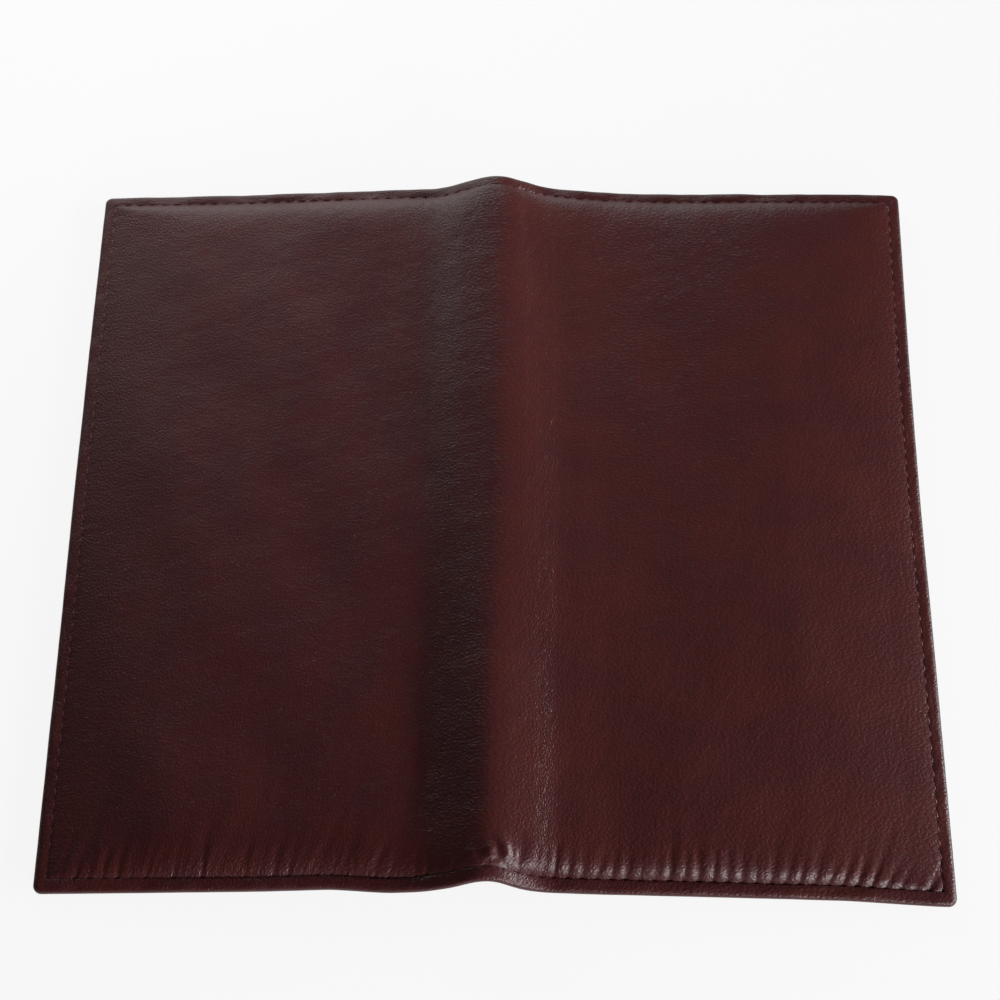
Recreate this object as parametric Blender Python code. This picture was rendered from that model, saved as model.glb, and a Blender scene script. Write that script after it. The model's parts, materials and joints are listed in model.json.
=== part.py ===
"""A long leather travel wallet, open and lying on its inner side like a very low tent.

The back panel is on the left and the front panel on the right. Between them the spine rises to a crest.
Three folds, one on each side of the spine and one along its crest, let the wallet close over its pockets.
Lengths are in metres. X runs across the open wallet, Y from its tail to its head, and +Z is up.
In each panel and spine strip, "across" is the distance from its fold, and "level" the height over its inner face.
"""

import math

import bmesh
import bpy

# Outline of the open wallet
wallet_height = 0.2300
back_panel_width = 0.1081
front_panel_width = 0.1156
spine_back_width = 0.0192
spine_front_width = 0.0154
corner_radius = 0.0022

# How it lies: the panels climb to the spine, and the crest stands over the back fold
tent_angle = math.radians(2.2)
ridge_rise = 0.0082

# Thickness of each layer where the perimeter seam pinches them, and the clearance between two layers
turned_leather = 0.0005
pocket_leather = 0.0005
lining_cloth = 0.0004
flange_leather = 0.0006
layer_gap = 0.00025

# The turned edge that runs round the wallet
turned_width = 0.0075
rim_wall = 0.0007
rim_round = 0.0006
flange_width = 0.0022
stitch_inset = 0.0038
stitch_dip = 0.0003
thread_radius = 0.00025

# The padded crown of each panel and the softer one of the spine
crown_leather = 0.0011
crown_height = 0.0043
panel_dome = 0.0004
back_fold_crown = 0.0034
front_fold_crown = 0.0012
crest_crown = 0.0012
crest_hollow = 0.0007
crest_round = 0.0044
shoulder_width = 0.0026
shoulder_steps = (0.0014, 0.0034, 0.0067)
fold_slope_width = 0.0145
fold_gap = 0.0003

# Stiffener board and padding inside each panel
board_thickness = 0.0007
board_inset = 0.0085
board_fold_margin = 0.0075

# Pockets of the back panel
ticket_pocket_margin = 0.0050
passport_pocket_margin = 0.0085
passport_pocket_height = 0.1000
pocket_stitch_inset = 0.0024

# Pockets of the front panel
note_pocket_margin = 0.0050
card_slot_margin = 0.0140
card_slot_count = 5
lowest_slot_height = 0.0500
card_slot_step = 0.0150
card_slot_gap = 0.0003

# Lines of points on the crowned surfaces
slope_shares = (0.0, 0.22, 0.455, 0.72)
lines_before_padding = 2
lines_across = 6
lines_along = 10

# Levels of the layers, counted from the inner face
pocket_under = turned_leather + layer_gap
pocket_top = pocket_under + pocket_leather
backing_under = pocket_top + layer_gap
backing_top = backing_under + pocket_leather
lining_under = backing_top + layer_gap
lining_top = lining_under + lining_cloth
flange_under = lining_top + layer_gap
flange_top = flange_under + flange_leather
board_top = flange_under + board_thickness
padding_under = board_top + layer_gap
thread_level = flange_top - stitch_dip + layer_gap + thread_radius
crown_inset = stitch_inset + shoulder_steps[-1]
half_height = wallet_height / 2
sheet_inset = rim_wall + layer_gap

# Slopes of the two spine strips, from the heights at which their ends have to meet
back_fold_height = (back_panel_width - rim_round) * math.sin(tent_angle)
front_fold_height = (front_panel_width - rim_round) * math.sin(tent_angle)
crest_height = back_fold_height + ridge_rise
back_slope = math.asin(ridge_rise / spine_back_width)
front_slope = math.asin((crest_height - front_fold_height) / spine_front_width)
back_fold_turn = back_slope - tent_angle
front_fold_turn = front_slope - tent_angle
crest_turn = back_slope + front_slope

# Colour and roughness of each kind of material
FINISHES = {
    "outer_leather": ((0.095, 0.022, 0.024), 0.42),
    "pocket_leather": ((0.080, 0.020, 0.022), 0.50),
    "lining": ((0.030, 0.012, 0.013), 0.80),
    "thread": ((0.070, 0.012, 0.016), 0.55),
    "padding": ((0.62, 0.60, 0.55), 0.95),
    "board": ((0.36, 0.27, 0.19), 0.85),
}


def make_material(name, kind):
    """A plain material of its own for one piece."""
    colour, roughness = FINISHES[kind]
    material = bpy.data.materials.new(f"{name}_{kind}")
    material.use_nodes = True
    shader = material.node_tree.nodes["Principled BSDF"]
    shader.inputs["Base Color"].default_value = (*colour, 1.0)
    shader.inputs["Roughness"].default_value = roughness
    shader.inputs["Metallic"].default_value = 0.0
    return material


def fold_frame(name, parent, location, turn):
    """An empty on a fold line, turned about it, that carries the pieces beyond the fold."""
    frame = bpy.data.objects.new(name, None)
    frame.empty_display_size = fold_slope_width
    frame.parent = parent
    frame.location = location
    frame.rotation_euler = (0.0, turn, 0.0)
    bpy.context.collection.objects.link(frame)
    return frame


def place(name, data, frame, kind):
    """Link a mesh or curve under its fold's empty, with its material."""
    data.materials.append(make_material(name, kind))
    piece = bpy.data.objects.new(name, data)
    piece.parent = frame
    bpy.context.collection.objects.link(piece)


def layered_solid(name, frame, kind, upper, lower, faces):
    """A closed piece between two surfaces that share the same faces, with walls along their open borders."""
    shape = bmesh.new()
    top = [shape.verts.new(point) for point in upper]
    bottom = [shape.verts.new(point) for point in lower]
    edges = set()
    for face in faces:
        shape.faces.new([top[i] for i in face])
        shape.faces.new([bottom[i] for i in reversed(face)])
        edges.update(zip(face, face[1:] + face[:1]))
    for start, end in sorted(edges):
        if (end, start) not in edges:
            shape.faces.new([top[end], top[start], bottom[start], bottom[end]])
    bmesh.ops.recalc_face_normals(shape, faces=shape.faces[:])
    mesh = bpy.data.meshes.new(name)
    shape.to_mesh(mesh)
    shape.free()
    mesh.shade_smooth()
    mesh.set_sharp_from_angle(angle=math.radians(40))
    place(name, mesh, frame, kind)


def grid_faces(rows):
    """Quads between neighbouring rows of point numbers."""
    faces = []
    for lower, upper in zip(rows, rows[1:]):
        for i in range(len(lower) - 1):
            faces.append([lower[i], lower[i + 1], upper[i + 1], upper[i]])
    return faces


def flat_sheet(name, frame, kind, side, across, along, levels, fold_turn=0.0, far_turn=0.0, rounded=()):
    """A flat layer, its ends leaning with the folds they meet. Corners named in rounded fit the wallet's corners."""
    near, far = across
    radius = corner_radius - sheet_inset
    cut = radius * (1 - math.sqrt(0.5))
    outline = [(0, along[0])]
    if "tail" in rounded:
        outline += [(far - radius, along[0]), (far - cut, along[0] + cut), (far, along[0] + radius)]
    else:
        outline.append((far, along[0]))
    if "head" in rounded:
        outline += [(far, along[1] - radius), (far - cut, along[1] - cut), (far - radius, along[1])]
    else:
        outline.append((far, along[1]))
    outline.append((0, along[1]))
    surfaces = []
    for level in levels:
        start = near + level * math.tan(fold_turn / 2)
        lean = level * math.tan(far_turn / 2)
        surfaces.append([(side * (x + lean if x else start), y, level) for x, y in outline])
    under, top = surfaces
    layered_solid(name, frame, kind, top, under, [list(range(len(outline)))])


def thread_line(name, frame, side, route):
    """A sewing thread, drawn as one fine tube along its seam. The route holds across, along and level."""
    curve = bpy.data.curves.new(name, "CURVE")
    curve.dimensions = "3D"
    curve.bevel_depth = thread_radius
    curve.bevel_resolution = 1
    curve.use_fill_caps = True
    spline = curve.splines.new("POLY")
    spline.points.add(len(route) - 1)
    for point, (across, along, level) in zip(spline.points, route):
        point.co = (side * across, along, level, 1.0)
    place(name, curve, frame, "thread")


def ease(share):
    """0 to 1 with level ends."""
    share = min(max(share, 0.0), 1.0)
    return share * share * (3 - 2 * share)


def lift(inset):
    """How far the leather has risen from the seam to its full crown, from 0 to 1."""
    return 1 - math.exp(-max(inset - stitch_inset, 0.0) / shoulder_width)


def crown_top(inset, fullness):
    """Level of the leather's outer face over the padding."""
    return flange_top + lift(inset) * fullness


def crown_under(inset, fullness):
    """Level of the leather's inner face over the padding: it is thinned towards the seam."""
    leather = flange_leather + (crown_leather - flange_leather) * lift(inset)
    return crown_top(inset, fullness) - leather


def panel_fullness(across, along, width, fold_crown):
    """Crown of a panel: it builds up from the fold, and swells a little in its middle."""
    middle = (1 - (2 * across / width - 1) ** 2) * (1 - (along / half_height) ** 2)
    return fold_crown + (crown_height - fold_crown) * ease(across / fold_slope_width) + panel_dome * middle


def spine_fullness(across, width, fold_crown):
    """Crown of a spine strip, from its fold to the crest, where the leather turns over and flattens."""
    turn_over = ease((across - width + crest_round) / crest_round)
    return fold_crown + (crest_crown - fold_crown) * ease(across / width) - crest_hollow * turn_over


def turned_edge():
    """Outer and inner face of the edge, as inset and level: under the wallet, round its rim and up to the seam."""
    inner_round = rim_round / 3
    return [
        ((turned_width, 0.0), (turned_width, turned_leather)),
        ((rim_round, 0.0), (rim_wall + inner_round, turned_leather)),
        ((0.0, rim_round), (rim_wall, turned_leather + inner_round)),
        ((0.0, flange_top - rim_round), (rim_wall, flange_under - inner_round)),
        ((rim_round, flange_top), (rim_wall + inner_round, flange_under)),
        ((flange_width, flange_top), (flange_width, flange_under)),
        ((stitch_inset, flange_top - stitch_dip), (stitch_inset, flange_under)),
    ]


def shoulder():
    """The rounded shoulder between the seam and the crown, whose levels follow the crown."""
    return [((stitch_inset + step, None), (stitch_inset + step, None)) for step in shoulder_steps]


def lines_across_panel(width):
    """Distances from the fold at which a panel has a line of points, as far as its crown reaches."""
    edge = width - crown_inset
    reach = edge - corner_radius - fold_slope_width
    slope = [share * fold_slope_width for share in slope_shares]
    middle = [fold_slope_width + reach * i / lines_across for i in range(lines_across + 1)]
    return slope + middle + [edge]


def lines_along_panel():
    """Places from tail to head at which a panel or the spine has a line of points."""
    edge = half_height - crown_inset
    reach = edge - corner_radius
    middle = [reach * (2 * i / lines_along - 1) for i in range(lines_along + 1)]
    return [-edge] + middle + [edge]


def border_path(inset, across, along, width):
    """Points round a panel at one inset: along its tail, up its fore-edge and back along its head."""
    far = width - inset
    high = half_height - inset
    cut = max(corner_radius - inset, 0.0) * (1 - math.sqrt(0.5))
    tail = [(x * far / across[-1], -high) for x in across[:-1]]
    fore = [(far, y * high / along[-1]) for y in along[1:-1]]
    head = [(x, high) for x, _ in reversed(tail)]
    return tail + [(far - cut, -high + cut)] + fore + [(far - cut, high - cut)] + head


def panel_surface(across, borders, width, top_level, under_level):
    """Top points, underside points and faces of a crowned panel: rings round three sides, a grid inside."""
    along = lines_along_panel()
    top, under, rings = [], [], []
    for top_edge, under_edge in borders:
        rings.append(list(range(len(top), len(top) + 2 * len(across) + len(along) - 2)))
        for points, (inset, level), level_at in ((top, top_edge, top_level), (under, under_edge, under_level)):
            for x, y in border_path(inset, across, along, width):
                points.append((x, y, level_at(x, y, inset) if level is None else level))
    inner = rings[-1]
    columns = []
    for i, x in enumerate(across[:-1]):
        start = len(top)
        for y in along[1:-1]:
            inset = crown_inset + min(along[-1] - abs(y), across[-1] - x)
            top.append((x, y, top_level(x, y, inset)))
            under.append((x, y, under_level(x, y, inset)))
        columns.append([inner[i], *range(start, len(top)), inner[-1 - i]])
    columns.append(inner[len(across) - 1:len(inner) - len(across) + 1])
    return top, under, grid_faces(rings) + grid_faces(columns[::-1])


def lean_to_fold(points, fold_turn):
    """Lean the end at the fold to the line that halves its angle, so that it meets the next strip there."""
    return [(x if x else fold_gap / 2 + level * math.tan(fold_turn / 2), y, level) for x, y, level in points]


def mirrored(side, points):
    """Points given by their distance from the fold, laid out on its left (-1) or right (1)."""
    return [(side * x, y, level) for x, y, level in points]


def panel_cover(name, frame, side, width, fold_turn, fold_crown):
    """The outer leather of one panel, its edge turned under round three sides."""
    top, under, faces = panel_surface(
        lines_across_panel(width), turned_edge() + shoulder(), width,
        lambda x, y, inset: crown_top(inset, panel_fullness(x, y, width, fold_crown)),
        lambda x, y, inset: crown_under(inset, panel_fullness(x, y, width, fold_crown)))
    layered_solid(name, frame, "outer_leather", mirrored(side, lean_to_fold(top, fold_turn)),
                  mirrored(side, lean_to_fold(under, fold_turn)), faces)


def panel_padding(name, frame, side, width, fold_crown):
    """The soft pad that fills the crown, between the leather and the board."""
    top, under, faces = panel_surface(
        lines_across_panel(width)[lines_before_padding:], shoulder()[1:], width,
        lambda x, y, inset: crown_under(inset, panel_fullness(x, y, width, fold_crown)) - layer_gap,
        lambda x, y, inset: padding_under)
    layered_solid(name, frame, "padding", mirrored(side, top), mirrored(side, under), faces)


def panel_board(name, frame, side, width):
    """The thin board that stiffens a panel."""
    reach = half_height - board_inset
    flat_sheet(name, frame, "board", side, (board_fold_margin, width - board_inset), (-reach, reach),
               (flange_under, board_top))


def spine_cover(name, frame, side, width, fold_turn, fold_crown):
    """The outer leather of one half of the spine, its edge turned under at tail and head."""
    slope = width - crest_round
    stations = [0.0, slope / 4, slope / 2, slope * 3 / 4, slope, width - crest_round / 2, width]
    edge = turned_edge() + shoulder()
    middle = [(y, (half_height - abs(y), None)) for y in lines_along_panel()[1:-1]]
    rows = [(-1, top, under) for top, under in edge]
    rows += [(math.copysign(1, y), line, line) for y, line in middle]
    rows += [(1, top, under) for top, under in reversed(edge)]

    def surface(row_side, line, level_at):
        inset, fixed = line
        points = []
        for x in stations:
            level = level_at(inset, spine_fullness(x, width, fold_crown)) if fixed is None else fixed
            if x == stations[0]:
                x = fold_gap / 2 + level * math.tan(fold_turn / 2)
            elif x == stations[-1]:
                x = width - fold_gap / 2 + level * math.tan(crest_turn / 2)
            points.append((x, row_side * (half_height - inset), level))
        return points

    top, under, numbers = [], [], []
    for row_side, top_line, under_line in rows:
        numbers.append(list(range(len(top), len(top) + len(stations))))
        top += surface(row_side, top_line, crown_top)
        under += surface(row_side, under_line, crown_under)
    layered_solid(name, frame, "outer_leather", mirrored(side, top), mirrored(side, under),
                  grid_faces(numbers))


def lining_sheet(name, frame, side, far, fold_turn, far_turn=0.0, rounded=()):
    """The lining behind the leather, held in the turned edge."""
    reach = half_height - sheet_inset
    flat_sheet(name, frame, "lining", side, (fold_gap / 2, far), (-reach, reach),
               (lining_under, lining_top), fold_turn, far_turn, rounded)


def pocket_sheet(name, frame, side, across, along, levels, rounded=()):
    """A pocket's leather, held in the turned edge where it reaches one."""
    flat_sheet(name, frame, "pocket_leather", side, across, along, levels, rounded=rounded)


def panel_seam(name, frame, side, width, fold_turn):
    """The perimeter seam's thread on one panel, from the fold round the fore-edge and back."""
    start = fold_gap + (thread_level + thread_radius) * math.tan(fold_turn / 2)
    far = width - stitch_inset
    high = half_height - stitch_inset
    route = [(start, -high), (far, -high), (far, high), (start, high)]
    thread_line(name, frame, side, [(x, y, thread_level) for x, y in route])


def spine_seam(name, frame, side, width, end, fold_turn):
    """The perimeter seam's thread on one half of the spine, at its tail (-1) or head (1)."""
    start = fold_gap + (thread_level + thread_radius) * math.tan(fold_turn / 2)
    stop = width - fold_gap + (thread_level - thread_radius) * math.tan(crest_turn / 2)
    along = end * (half_height - stitch_inset)
    thread_line(name, frame, side, [(start, along, thread_level), (stop, along, thread_level)])


def back_panel(frame):
    """Everything on the back panel: leather, padding, board, lining and its two pockets."""
    width = back_panel_width
    far = width - sheet_inset
    reach = half_height - sheet_inset
    panel_cover("back_cover", frame, -1, width, back_fold_turn, back_fold_crown)
    panel_padding("back_padding", frame, -1, width, back_fold_crown)
    panel_board("back_board", frame, -1, width)
    lining_sheet("back_lining", frame, -1, far, back_fold_turn, rounded=("tail", "head"))
    pocket_sheet("ticket_pocket", frame, -1, (ticket_pocket_margin, far), (-reach, reach),
                 (backing_under, backing_top), ("tail", "head"))
    passport_top = passport_pocket_height - reach
    pocket_sheet("passport_pocket", frame, -1, (passport_pocket_margin, far), (-reach, passport_top),
                 (pocket_under, pocket_top), ("tail",))
    seam = passport_pocket_margin + pocket_stitch_inset
    level = pocket_under - layer_gap - thread_radius
    thread_line("passport_pocket_thread", frame, -1,
                [(seam, turned_width - half_height + pocket_stitch_inset, level),
                 (seam, passport_top - pocket_stitch_inset, level)])
    panel_seam("back_seam_thread", frame, -1, width, back_fold_turn)


def front_panel(frame):
    """Everything on the front panel: leather, padding, board, lining, note pocket and card slots."""
    width = front_panel_width
    far = width - sheet_inset
    reach = half_height - sheet_inset
    panel_cover("front_cover", frame, 1, width, front_fold_turn, front_fold_crown)
    panel_padding("front_padding", frame, 1, width, front_fold_crown)
    panel_board("front_board", frame, 1, width)
    lining_sheet("front_lining", frame, 1, far, front_fold_turn, rounded=("tail", "head"))
    pocket_sheet("note_pocket", frame, 1, (note_pocket_margin, far), (-reach, reach),
                 (backing_under, backing_top), ("tail", "head"))
    low = -reach
    for number in range(card_slot_count, 0, -1):
        high = low + (lowest_slot_height if number == card_slot_count else card_slot_step)
        pocket_sheet(f"card_slot_{number}", frame, 1, (card_slot_margin, far), (low, high - card_slot_gap),
                     (pocket_under, pocket_top), ("tail",) if number == card_slot_count else ())
        low = high
    seam = card_slot_margin + pocket_stitch_inset
    level = pocket_under - layer_gap - thread_radius
    thread_line("card_slot_thread", frame, 1,
                [(seam, turned_width - half_height + pocket_stitch_inset, level),
                 (seam, low - card_slot_gap - pocket_stitch_inset, level)])
    panel_seam("front_seam_thread", frame, 1, width, front_fold_turn)


def spine_half(frame, half, side, width, fold_turn, fold_crown):
    """Leather, lining and the two short runs of seam on one half of the spine."""
    spine_cover(f"spine_cover_{half}", frame, side, width, fold_turn, fold_crown)
    lining_sheet(f"spine_lining_{half}", frame, side, width - fold_gap / 2, fold_turn, crest_turn)
    for end, place_name in ((-1, "tail"), (1, "head")):
        spine_seam(f"spine_thread_{half}_{place_name}", frame, side, width, end, fold_turn)


def build_wallet():
    """Clear the scene, set up the three folds and hang the pieces on them."""
    for item in list(bpy.data.objects):
        bpy.data.objects.remove(item, do_unlink=True)
    spine_span = spine_back_width * math.cos(back_slope) + spine_front_width * math.cos(front_slope)
    panel_span = (back_panel_width - front_panel_width) * math.cos(tent_angle)
    back_fold_place = ((panel_span - spine_span) / 2, 0.0, back_fold_height)
    back = fold_frame("back_panel_frame", None, back_fold_place, -tent_angle)
    spine_back = fold_frame("back_fold", back, (0.0, 0.0, 0.0), -back_fold_turn)
    crest = fold_frame("crest_fold", spine_back, (spine_back_width, 0.0, 0.0), crest_turn)
    front = fold_frame("front_fold", crest, (spine_front_width, 0.0, 0.0), -front_fold_turn)
    back_panel(back)
    spine_half(spine_back, "back", 1, spine_back_width, back_fold_turn, back_fold_crown)
    front_spine = fold_frame("front_spine_frame", crest, (spine_front_width, 0.0, 0.0), 0.0)
    spine_half(front_spine, "front", -1, spine_front_width, front_fold_turn, front_fold_crown)
    front_panel(front)


build_wallet()
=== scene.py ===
import json
import math

import bmesh
import bpy
import numpy as np
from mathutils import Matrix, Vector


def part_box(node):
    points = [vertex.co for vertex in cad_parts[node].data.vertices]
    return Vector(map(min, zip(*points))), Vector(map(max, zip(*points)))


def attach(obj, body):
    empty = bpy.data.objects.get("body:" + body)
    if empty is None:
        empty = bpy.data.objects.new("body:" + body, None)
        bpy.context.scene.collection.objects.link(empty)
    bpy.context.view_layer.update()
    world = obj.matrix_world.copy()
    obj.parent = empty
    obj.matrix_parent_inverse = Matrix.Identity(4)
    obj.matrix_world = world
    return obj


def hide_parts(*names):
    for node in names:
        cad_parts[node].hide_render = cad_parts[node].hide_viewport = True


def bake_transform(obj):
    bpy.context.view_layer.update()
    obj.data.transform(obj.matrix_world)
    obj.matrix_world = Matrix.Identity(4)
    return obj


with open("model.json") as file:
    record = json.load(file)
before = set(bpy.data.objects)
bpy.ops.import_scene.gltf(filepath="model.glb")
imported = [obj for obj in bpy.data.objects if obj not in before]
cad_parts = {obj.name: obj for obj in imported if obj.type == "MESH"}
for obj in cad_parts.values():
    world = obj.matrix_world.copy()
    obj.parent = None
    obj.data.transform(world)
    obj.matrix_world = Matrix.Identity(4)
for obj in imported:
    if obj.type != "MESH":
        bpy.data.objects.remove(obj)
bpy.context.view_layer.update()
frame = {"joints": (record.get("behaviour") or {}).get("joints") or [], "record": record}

mm = 0.001  # lengths are in metres

# Camera, floor and light
# A plain pale table in soft light. The large lamp behind gives the leather its sheen towards the head, and a
# small one, which the leather doesn't mirror, lifts the head itself. Low lamps on the right light the slopes
# that face them and pick out the seam's puckers, while the spine's left side stays dark.
camera_place = (0.01484, -0.28722, 0.59486)
camera_turn = (0.46108, 0.01706, 0.012905)
camera_lens = 79.56
white = (1.0, 1.0, 1.0, 1.0)
floor_colour = (0.05, 0.05, 0.05)
floor_glow = 0.885
floor_half = 2.5
sky_seen = 0.95
sky_overhead = 0.03
sky_low = 0.13
# place, size, power, and whether the leather mirrors it
lamps = {
    "lamp_behind": ((-0.24, 0.74, 0.26), (0.8, 0.4), 3.3, True),
    "lamp_at_head": ((-0.14, 0.25, 0.16), (0.34, 0.12), 0.46, False),
    "lamp_right": ((1.75, -0.10, 0.37), (1.5, 0.5), 68.0, True),
    "lamp_front_right": ((0.66, -1.02, 0.28), (0.5, 0.25), 15.5, True),
}

scene = bpy.context.scene
scene.view_settings.view_transform = "Standard"


def placed(name, data):
    """An object of the scene."""
    made = bpy.data.objects.new(name, data)
    scene.collection.objects.link(made)
    return made


camera = placed("camera", bpy.data.cameras.new("camera"))
camera.data.lens = camera_lens
camera.data.clip_start = 0.01
camera.location = camera_place
camera.rotation_euler = camera_turn
scene.camera = camera

for name, (place, size, power, mirrored) in lamps.items():
    lamp = placed(name, bpy.data.lights.new(name, "AREA"))
    lamp.data.shape = "RECTANGLE"
    lamp.data.size, lamp.data.size_y = size
    lamp.data.energy = power
    lamp.location = place
    lamp.rotation_euler = (-lamp.location).to_track_quat("-Z", "Y").to_euler()
    lamp.visible_camera = False
    lamp.visible_glossy = mirrored


def feed(node, inputs):
    """Give a node's inputs their values, or join them to outputs written as (node, output)."""
    for key, value in inputs.items():
        if isinstance(value, tuple) and isinstance(value[0], bpy.types.Node):
            source, output = value
            node.id_data.links.new(source.outputs[output], node.inputs[key])
        else:
            node.inputs[key].default_value = value


def add_node(tree, kind, inputs=None, **settings):
    """A node with its settings and its inputs."""
    node = tree.nodes.new(kind)
    for key, value in settings.items():
        setattr(node, key, value)
    feed(node, inputs or {})
    return node


def maths(tree, operation, *entries):
    """The output of a Math node whose entries are numbers or outputs."""
    return add_node(tree, "ShaderNodeMath", dict(enumerate(entries)), operation=operation), 0


def finish(name, inputs):
    """A material, its node tree and its shader, with values on some of the shader's inputs."""
    material = bpy.data.materials.new(name)
    material.use_nodes = True
    shader = material.node_tree.nodes["Principled BSDF"]
    feed(shader, inputs)
    return material, material.node_tree, shader


world = bpy.data.worlds.new("studio")
world.use_nodes = True
scene.world = world
tree = world.node_tree
rays = add_node(tree, "ShaderNodeLightPath")
towards = add_node(tree, "ShaderNodeTexCoord")
upwards = add_node(tree, "ShaderNodeSeparateXYZ", {"Vector": (towards, "Generated")})
by_height = add_node(tree, "ShaderNodeMapRange",
                     {"Value": (upwards, "Z"), "To Min": sky_low, "To Max": sky_overhead})
strength = add_node(tree, "ShaderNodeMapRange",
                    {"Value": (rays, "Is Camera Ray"), "To Min": (by_height, "Result"), "To Max": sky_seen})
feed(tree.nodes["Background"], {"Color": white, "Strength": (strength, "Result")})

floor_mesh = bpy.data.meshes.new("floor")
corners = [(x * floor_half, y * floor_half, 0) for x, y in ((-1, -1), (1, -1), (1, 1), (-1, 1))]
floor_mesh.from_pydata(corners, [], [(0, 1, 2, 3)])
floor = placed("floor", floor_mesh)
pale_table, tree, shader = finish("pale_table", {"Base Color": (*floor_colour, 1.0), "Roughness": 0.9,
                                                 "Specular IOR Level": 0.2, "Emission Color": white})
rays = add_node(tree, "ShaderNodeLightPath")
seen = maths(tree, "MAXIMUM", (rays, "Is Camera Ray"), (rays, "Is Glossy Ray"))
feed(shader, {"Emission Strength": maths(tree, "MULTIPLY", seen, floor_glow)})
floor_mesh.materials.append(pale_table)

# The profile that every layer follows
# Seen from its tail, the open wallet is two low leaning panels and a spine that stands up as a ridge.
# A point is given by its distance round this profile from the crest, its place from tail to head,
# and its level.
fold = {joint["name"]: joint["pos_m"] for joint in frame["joints"]}
tent_angle = math.asin(frame["record"]["mounts"][0]["axis"][0])
half_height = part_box("back_cover")[1].y
rim_lean = 2.9 * mm * math.tan(tent_angle)
back_width = (fold["back_fold"][0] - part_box("back_cover")[0].x) / math.cos(tent_angle) - rim_lean
front_width = (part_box("front_cover")[1].x - fold["front_fold"][0]) / math.cos(tent_angle) - rim_lean


def span(first, second):
    """Length and slope of the straight line between two folds."""
    run = fold[second][0] - fold[first][0]
    rise = fold[second][2] - fold[first][2]
    return math.hypot(run, rise), math.atan2(rise, run)


spine_back_width, back_slope = span("back_fold", "crest_fold")
spine_front_width, front_slope = span("crest_fold", "front_fold")
back_fold_u = -spine_back_width
front_fold_u = spine_front_width
back_edge_u = back_fold_u - back_width
front_edge_u = front_fold_u + front_width
# how far each fold's bend reaches to either side
fold_reach = {back_fold_u: 6.0 * mm, 0.0: 5.6 * mm, front_fold_u: 7.0 * mm}


def smooth(start, end, value):
    """0 to 1 between start and end, level at both."""
    share = np.clip((value - start) / (end - start), 0.0, 1.0)
    return share * share * (3.0 - 2.0 * share)


profile_u = np.arange(back_edge_u - mm, front_edge_u + mm, 0.1 * mm)
profile_turn = np.full(len(profile_u), tent_angle)
for fold_u, turn in ((back_fold_u, back_slope - tent_angle), (0.0, front_slope - back_slope),
                     (front_fold_u, -tent_angle - front_slope)):
    reach = fold_reach[fold_u]
    profile_turn += turn * smooth(fold_u - reach, fold_u + reach, profile_u)
steps = np.diff(profile_u, prepend=profile_u[0])
profile_x = np.cumsum(steps * np.cos(profile_turn))
profile_z = np.cumsum(steps * np.sin(profile_turn))
profile_x += fold["back_fold"][0] - (back_fold_u - profile_u[0]) * math.cos(tent_angle)
profile_z += fold["back_fold"][2] - (back_fold_u - profile_u[0]) * math.sin(tent_angle)


def eased(value, stations, levels, ease=8 * mm):
    """Levels between stations, with the corners at the stations rounded over a length."""
    shifts = np.linspace(-1, 1, 13)
    weights = 1 + np.cos(math.pi * shifts)
    total = sum(weight * np.interp(value + shift * ease, stations, levels)
                for shift, weight in zip(shifts, weights))
    return total / weights.sum()


# how far the leather has drawn in at the tail, the head and the fore-edges, and the panels have warped up
tail_stations = np.array([-127, -63, -44, -29, -10, 1, 10, 30, 62, 100, 126]) * mm
tail_draw = np.array([0.2, 0.7, 1.2, 0.2, 0.5, 1.6, 0.6, 0.3, 0.1, -0.2, -1.4]) * mm
head_stations = np.array([-80, -35, 0, 15, 30, 60, 115]) * mm
head_draw = np.array([0.0, 0.9, 1.0, 1.6, 0.9, 0.5, 0.4]) * mm
lift_stations = np.array([10, 22, 36, 52, 80, 118]) * mm
head_lift = np.array([0.0, -0.4, -1.3, -1.3, 0.2, 1.6]) * mm
edge_stations = np.array([-115, -40, 10, 60, 115]) * mm
fore_draw = {-1: np.array([0.4, 0.1, -0.3, -0.4, -0.3]) * mm,
             1: np.array([-0.4, -1.1, -1.8, -1.9, -1.4]) * mm}
# where this begins, along and across the wallet
draw_start = 40 * mm
lift_start = -20 * mm
fore_start = 60 * mm


def place_points(u, y, level):
    """Points in space for places round the profile, along the wallet and over its inner face."""
    u, y, level = np.broadcast_arrays(u, y, level)
    turn = np.interp(u, profile_u, profile_turn)
    x = np.interp(u, profile_u, profile_x) - level * np.sin(turn)
    z = np.interp(u, profile_u, profile_z) + level * np.cos(turn)
    for side, edge_u in ((1, front_edge_u), (-1, back_edge_u)):
        x = x + eased(y, edge_stations, fore_draw[side]) * smooth(side * fore_start, edge_u, u)
    z = z + eased(u, lift_stations, head_lift) * smooth(lift_start, half_height, y)
    y = (y + eased(u, tail_stations, tail_draw, 4 * mm) * smooth(-draw_start, -half_height, y)
         + eased(u, head_stations, head_draw) * smooth(draw_start, half_height, y))
    return np.stack([x, y, z], axis=-1)


# Outer leather
# One hide of milled calf, dyed oxblood, covers both panels and the spine over a soft padding. Its edge is
# pared thin, turned round the layers and held by a seam 3.8 mm in, which puckers it at every stitch.
# It is divided halfway up each side of the spine, so that each part lies over one fold.
flange_level = 3.4 * mm
seam_inset = 3.8 * mm
groove_width = 0.6 * mm
panel_dome = 0.5 * mm
corner_radius = 2.3 * mm
hole_radius = 0.45 * mm
sharp_angle = math.radians(50)
stitches_across = 63
stitches_along = 57
seam_left = back_edge_u + seam_inset
seam_right = front_edge_u - seam_inset
seam_end = half_height - seam_inset
pitch_across = (seam_right - seam_left) / stitches_across
pitch_along = 2 * seam_end / stitches_along
back_cut_u = back_fold_u / 2
front_cut_u = front_fold_u / 2
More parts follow.
